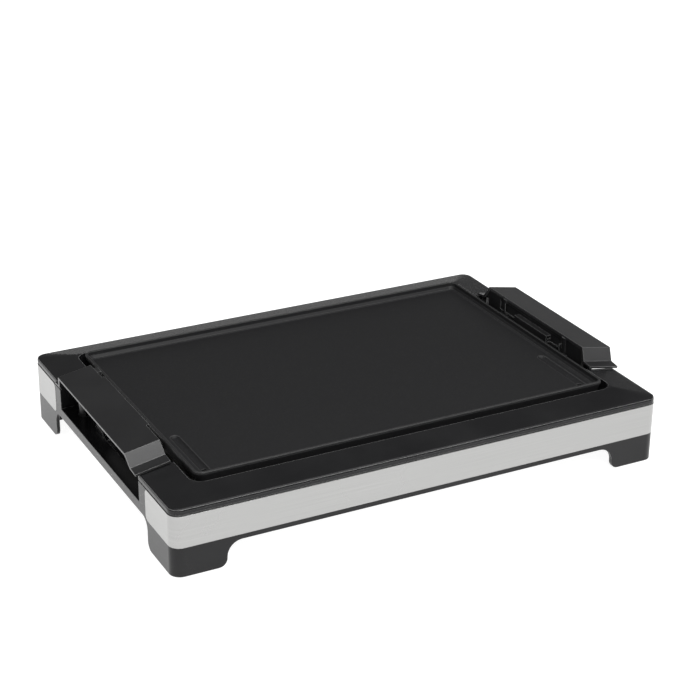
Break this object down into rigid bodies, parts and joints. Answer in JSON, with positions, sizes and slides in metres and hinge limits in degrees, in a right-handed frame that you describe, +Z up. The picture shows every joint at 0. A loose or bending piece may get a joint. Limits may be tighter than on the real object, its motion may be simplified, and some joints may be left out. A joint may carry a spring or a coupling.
{
  "type": "electric griddle hot plate",
  "caption": "Black non-stick griddle plate with bridge handles, lifting off a low frame of two long rails with bare steel bands, over a stepped drip tray.",
  "frame": {"origin": "on the table, under the centre of the frame", "axes": "+X along the long rails towards the electric connector, +Y to the back, +Z up"},
  "size_m": [0.58, 0.4044, 0.099],
  "materials": {
    "frame_plastic": "fine moulded grain, satin",
    "member_plastic": "fine moulded grain, matt",
    "handle_plastic": "fine moulded grain, satin",
    "carrier_plastic": "moulded heat-proof resin",
    "band_steel": "brushed along its length",
    "bright_steel": "bright, pressed",
    "clip_steel": "plain spring steel",
    "screw_steel": "zinc plated",
    "element_steel": "dull, heat-tinted sheath",
    "probe_brass": "plain tube",
    "plate_cast": "cast, black non-stick coating",
    "tray_metal": "pressed sheet, satin",
    "pad_rubber": "matt"
  },
  "bodies": {
    "base": {"front_upper_rail": "frame_plastic", "rear_upper_rail": "frame_plastic", "front_steel_band": "band_steel", "rear_steel_band": "band_steel", "front_lower_rail": "frame_plastic", "rear_lower_rail": "frame_plastic", "foot_pads": "pad_rubber", "left_cross_member": "member_plastic", "right_cross_member": "member_plastic", "left_fork": "member_plastic", "channel_clip": "clip_steel", "connector_support": "member_plastic", "steel_probe_support": "bright_steel", "support_screws": "bright_steel", "frame_screws": "screw_steel"},
    "plate": {"griddle_plate": "plate_cast", "heating_element": "element_steel", "element_clamps": "clip_steel", "clamp_screws": "screw_steel", "terminal_carrier": "carrier_plastic", "terminal_pins": "bright_steel", "terminal_screws": "bright_steel", "probe_tube": "probe_brass", "left_handle": "handle_plastic", "right_handle": "handle_plastic", "handle_screws": "screw_steel"},
    "tray": {"drip_tray": "tray_metal"}
  },
  "joints": [
    {"name": "plate_lift", "type": "slide", "parent": "base", "child": "plate", "axis": [0, 0, 1], "range_m": [0, 0.1974]},
    {"name": "tray_lift", "type": "slide", "parent": "base", "child": "tray", "axis": [0, 0, 1], "range_m": [0, 0.116]}
  ],
  "couplings": [
    {"joint": "tray_lift", "follows": "plate_lift", "ratio": 0.5826}
  ]
}
